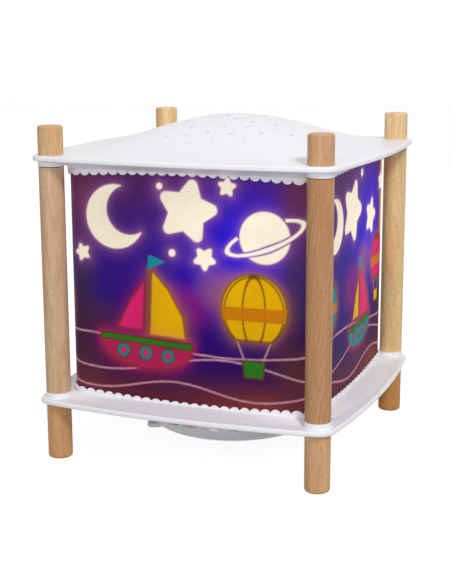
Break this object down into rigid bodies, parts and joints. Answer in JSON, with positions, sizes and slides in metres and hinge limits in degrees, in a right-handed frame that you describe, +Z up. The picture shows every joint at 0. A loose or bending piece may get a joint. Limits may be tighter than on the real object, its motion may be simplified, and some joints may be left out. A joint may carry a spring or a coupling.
{
  "type": "rotating picture lantern",
  "caption": "Square children's night lantern: wooden posts carry a bowed white base and vented lid round a lit picture film, with a heat-driven turning drum inside.",
  "frame": {"origin": "on the floor under the middle of the lantern", "axes": "+Z up along the drum's axis, -Y towards the front film, +Y towards the power inlet and switch"},
  "size_m": [0.1854, 0.1854, 0.193],
  "materials": {
    "white_plastic": "satin white moulded plastic",
    "beech": "plain oiled beech, fine flecks along the grain",
    "scene_print": "printed translucent film, deep violet to maroon",
    "drum_print": "printed transparent film",
    "steel": "zinc plated",
    "brass": "turned",
    "aluminium": "rolled sheet",
    "ceramic": "glazed",
    "bulb_glass": "clear glass, warm",
    "filament": "coiled wire on a glass stem",
    "black_plastic": "moulded",
    "red_plastic": "moulded",
    "red_wire": "insulated lead",
    "black_wire": "insulated lead"
  },
  "bodies": {
    "base": {"base_tray": "white_plastic", "foot_front_left": "beech", "foot_front_right": "beech", "foot_back_left": "beech", "foot_back_right": "beech", "post_front_left": "beech", "post_front_right": "beech", "post_back_left": "beech", "post_back_right": "beech", "base_studs": "steel", "scene_film": "scene_print", "base_cup": "white_plastic", "cup_screws": "steel", "power_jack": "black_plastic", "jack_nut": "steel", "switch_body": "black_plastic", "supply_lead": "red_wire", "switched_lead": "red_wire", "return_lead": "black_wire", "socket_strap": "steel", "strap_screws": "steel", "heat_shield": "aluminium", "lamp_socket": "ceramic", "bulb_cap": "brass", "bulb_glass": "bulb_glass", "bulb_filament": "filament", "needle_arch": "steel", "needle_ferrule": "brass", "pivot_needle": "steel"},
    "lid": {"top_cover": "white_plastic", "knob_front_left": "beech", "knob_front_right": "beech", "knob_back_left": "beech", "knob_back_right": "beech", "knob_screws": "steel"},
    "drum": {"rotor_fan": "aluminium", "pivot_cup": "brass", "drum_film": "drum_print", "drum_hoop": "aluminium"},
    "rocker": {"switch_rocker": "red_plastic"}
  },
  "joints": [
    {"name": "drum_spin", "type": "hinge", "parent": "base", "child": "drum", "pos_m": [0, 0, 0.1495], "axis": [0, 0, 1], "continuous": true},
    {"name": "lid_lift", "type": "slide", "parent": "base", "child": "lid", "axis": [0, 0, 1], "range_m": [0, 0.06]},
    {"name": "switch_rock", "type": "hinge", "parent": "base", "child": "rocker", "pos_m": [0.01, 0.061, 0.0235], "axis": [0, 0, 1], "range_deg": [0, 18]}
  ]
}
